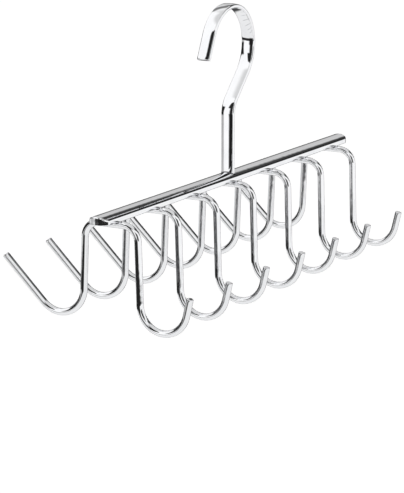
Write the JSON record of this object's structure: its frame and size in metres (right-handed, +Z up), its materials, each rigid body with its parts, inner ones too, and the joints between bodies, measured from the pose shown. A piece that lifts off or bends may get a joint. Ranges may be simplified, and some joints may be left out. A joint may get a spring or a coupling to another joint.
{
  "type": "tie hanger",
  "caption": "Chrome hanger for ties and belts: a crowned flat bar on a closet hook, with double wire hooks welded across it, short in front and long behind.",
  "frame": {"origin": "centre of the closet rod: the middle of the hook's round seat, halfway across the strip", "axes": "+X along the bar, away from the side on which the hook opens; +Y towards the long rear arms; +Z up"},
  "size_m": [0.283, 0.1212, 0.1631],
  "materials": {
    "bar_chrome": "bright chrome plate on a rolled, crowned flat bar",
    "hook_chrome": "bright chrome plate on a bent flat oval strip",
    "wire_chrome": "bright chrome plate on drawn round wire, with bevelled cut ends",
    "weld_chrome": "thin dark plating over small, uneven weld fillets"
  },
  "bodies": {
    "root": {"bar": "bar_chrome", "closet_hook": "hook_chrome", "stem_weld": "weld_chrome", "hook_wire_1": "wire_chrome", "hook_wire_2": "wire_chrome", "hook_wire_3": "wire_chrome", "hook_wire_4": "wire_chrome", "hook_wire_5": "wire_chrome", "hook_wire_6": "wire_chrome", "hook_wire_7": "wire_chrome", "wire_weld_1": "weld_chrome", "wire_weld_2": "weld_chrome", "wire_weld_3": "weld_chrome", "wire_weld_4": "weld_chrome", "wire_weld_5": "weld_chrome", "wire_weld_6": "weld_chrome", "wire_weld_7": "weld_chrome"}
  },
  "joints": []
}
